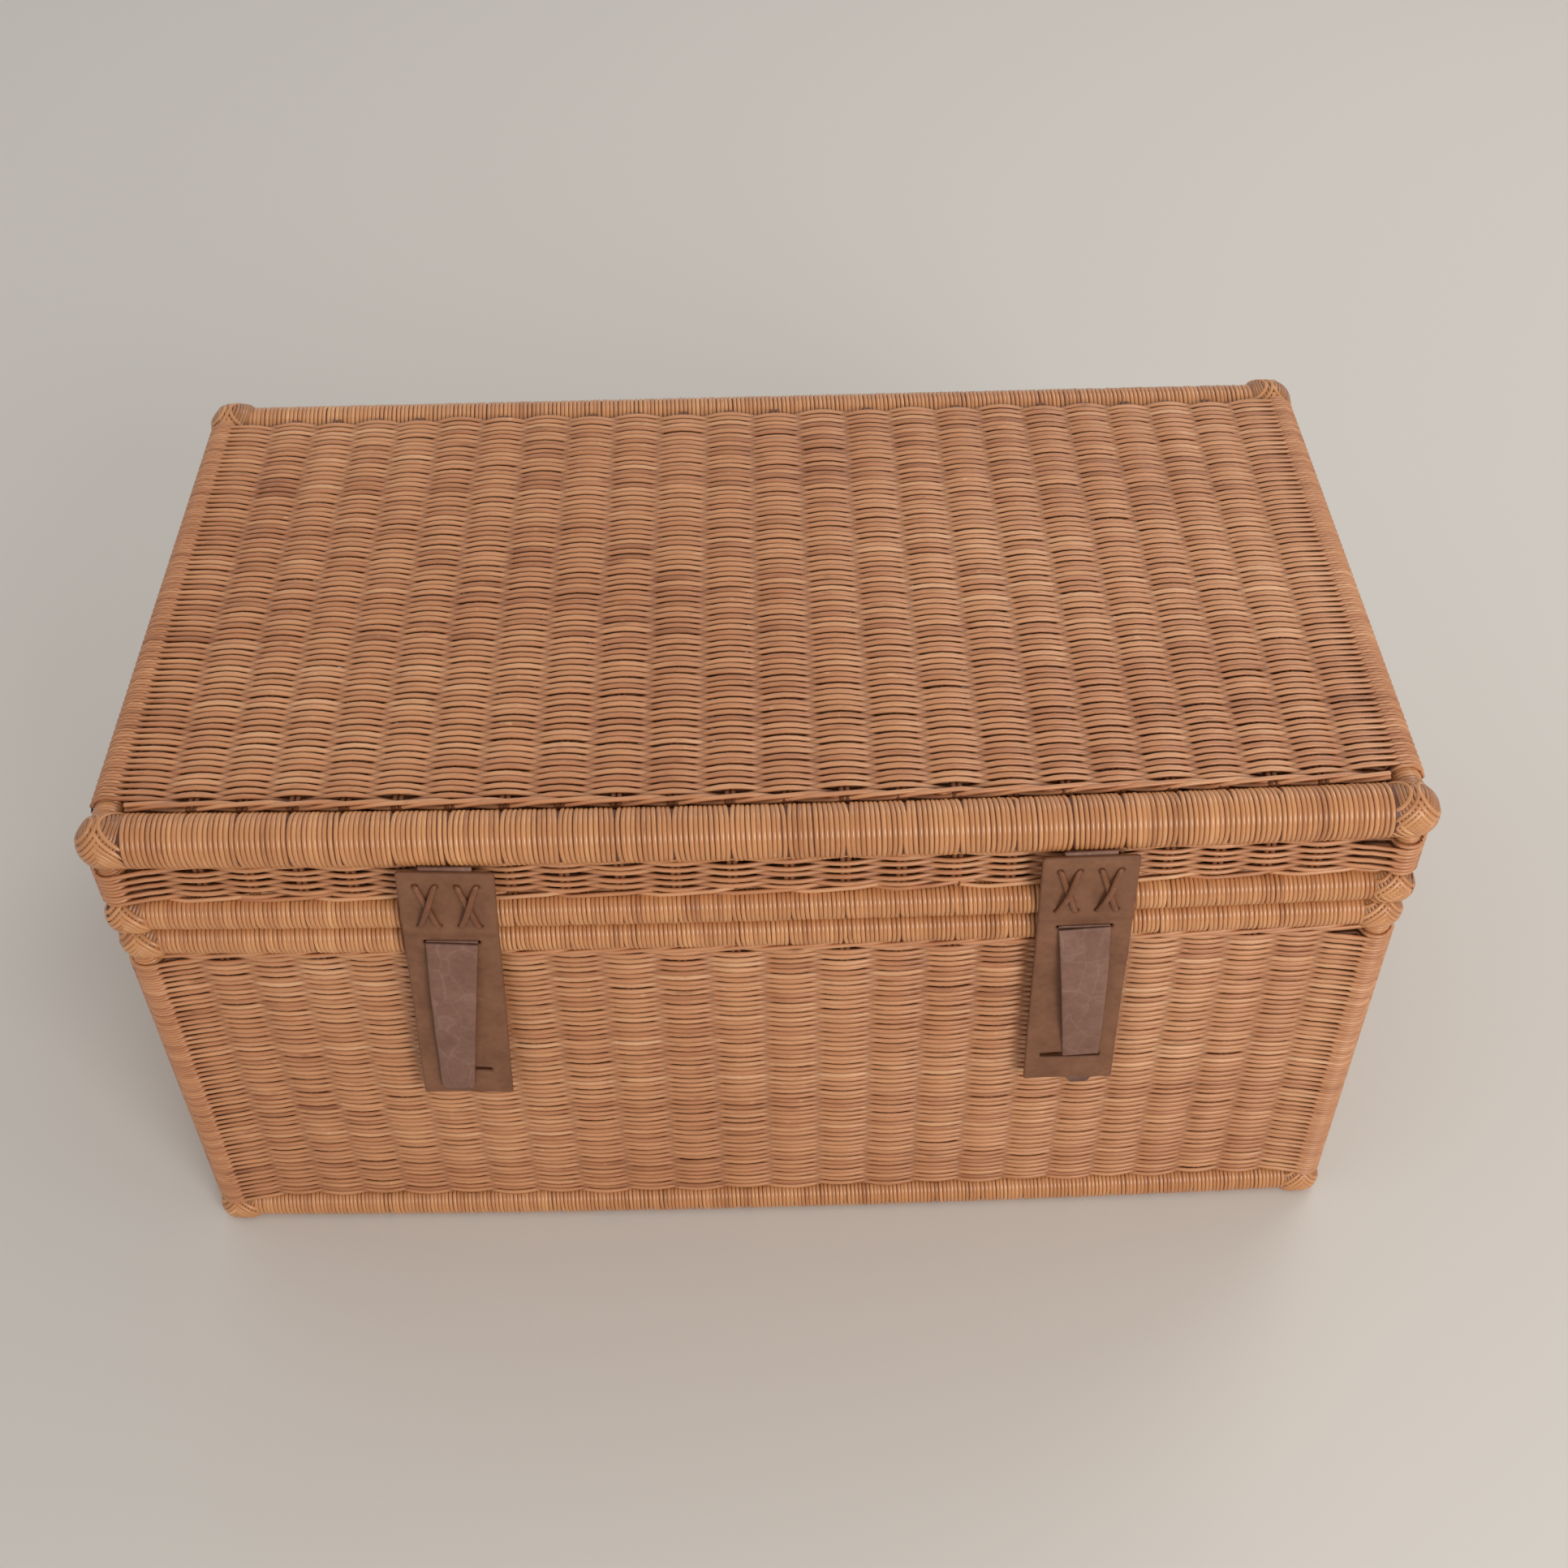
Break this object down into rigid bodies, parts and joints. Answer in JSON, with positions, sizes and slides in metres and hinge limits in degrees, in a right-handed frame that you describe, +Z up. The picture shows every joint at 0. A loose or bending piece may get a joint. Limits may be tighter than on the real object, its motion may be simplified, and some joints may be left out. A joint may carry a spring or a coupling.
{
  "type": "wicker storage trunk",
  "caption": "Rectangular woven rattan storage trunk with a hinged lid, cane-bound rails and leather strap latches on the front.",
  "frame": {"origin": "centre of the bounding box at floor level", "axes": "+Z up, +X along the long front side to the right of someone facing the front, the latches on the front face -Y"},
  "size_m": [0.7968, 0.4718, 0.3944],
  "materials": {
    "rattan_pole": "satin",
    "rattan_binding": "satin lacquer",
    "rattan_lashing": "satin lacquer",
    "rattan_stake": "satin",
    "rattan_weave": "satin lacquer",
    "leather_loop": "matt",
    "leather_plate": "matt",
    "leather_strap": "semi-matt",
    "leather_lace": "semi-matt"
  },
  "bodies": {
    "base": {"base_pole_bottom_front": "rattan_pole", "base_pole_bottom_back": "rattan_pole", "base_pole_bottom_left": "rattan_pole", "base_pole_bottom_right": "rattan_pole", "base_pole_top_front": "rattan_pole", "base_pole_top_back": "rattan_pole", "base_pole_top_left": "rattan_pole", "base_pole_top_right": "rattan_pole", "base_corner_posts": "rattan_pole", "base_post_wraps": "rattan_binding", "base_binding_bottom_front": "rattan_binding", "base_binding_bottom_back": "rattan_binding", "base_binding_bottom_sides": "rattan_binding", "base_binding_top": "rattan_binding", "base_lashings_bottom": "rattan_lashing", "base_lashings_top": "rattan_lashing", "base_weave_front": "rattan_weave", "base_weave_back": "rattan_weave", "base_weave_left": "rattan_weave", "base_weave_right": "rattan_weave", "base_weave_floor": "rattan_weave", "base_stakes_front": "rattan_stake", "base_stakes_back": "rattan_stake", "base_stakes_sides": "rattan_stake", "base_stakes_floor": "rattan_stake", "hinge_loops": "leather_loop"},
    "lid": {"lid_pole_lower_front": "rattan_pole", "lid_pole_lower_back": "rattan_pole", "lid_pole_lower_left": "rattan_pole", "lid_pole_lower_right": "rattan_pole", "lid_pole_top_front": "rattan_pole", "lid_pole_top_back": "rattan_pole", "lid_pole_top_left": "rattan_pole", "lid_pole_top_right": "rattan_pole", "lid_corner_posts": "rattan_pole", "lid_post_wraps": "rattan_binding", "lid_binding_top": "rattan_binding", "lid_binding_lower": "rattan_binding", "lid_lashings_lower": "rattan_lashing", "lid_lashings_top": "rattan_lashing", "lid_weave_front": "rattan_weave", "lid_weave_back": "rattan_weave", "lid_weave_left": "rattan_weave", "lid_weave_right": "rattan_weave", "lid_weave_top": "rattan_weave", "lid_stakes_apron": "rattan_stake", "lid_stakes_top": "rattan_stake", "latch_plate_left": "leather_plate", "latch_strap_left": "leather_strap", "latch_laces_left": "leather_lace", "latch_plate_right": "leather_plate", "latch_strap_right": "leather_strap", "latch_laces_right": "leather_lace"},
    "latch_flap_left": {"latch_flap_left": "leather_plate", "latch_strap_root_left": "leather_strap"},
    "latch_tongue_left": {"latch_tongue_left": "leather_strap"},
    "latch_flap_right": {"latch_flap_right": "leather_plate", "latch_strap_root_right": "leather_strap"},
    "latch_tongue_right": {"latch_tongue_right": "leather_strap"}
  },
  "joints": [
    {"name": "lid_hinge", "type": "hinge", "parent": "base", "child": "lid", "pos_m": [0, 0.2226, 0.3196], "axis": [-1, 0, 0], "range_deg": [0, 105]},
    {"name": "latch_flap_left_flex", "type": "hinge", "parent": "lid", "child": "latch_flap_left", "pos_m": [-0.18491, -0.2277, 0.31508], "axis": [-0.9984, 0, 0.0565], "range_deg": [0, 75]},
    {"name": "latch_tongue_left_bend", "type": "hinge", "parent": "latch_flap_left", "child": "latch_tongue_left", "pos_m": [-0.18531, -0.2305, 0.30809], "axis": [-0.995, 0, 0.1], "range_deg": [0, 80]},
    {"name": "latch_flap_right_flex", "type": "hinge", "parent": "lid", "child": "latch_flap_right", "pos_m": [0.19241, -0.2277, 0.31501], "axis": [-0.9998, 0, -0.019], "range_deg": [0, 75]},
    {"name": "latch_tongue_right_bend", "type": "hinge", "parent": "latch_flap_right", "child": "latch_tongue_right", "pos_m": [0.19255, -0.2305, 0.30801], "axis": [-0.9973, 0, -0.0731], "range_deg": [0, 80], "deforming": ["latch_tongue_right"]}
  ]
}
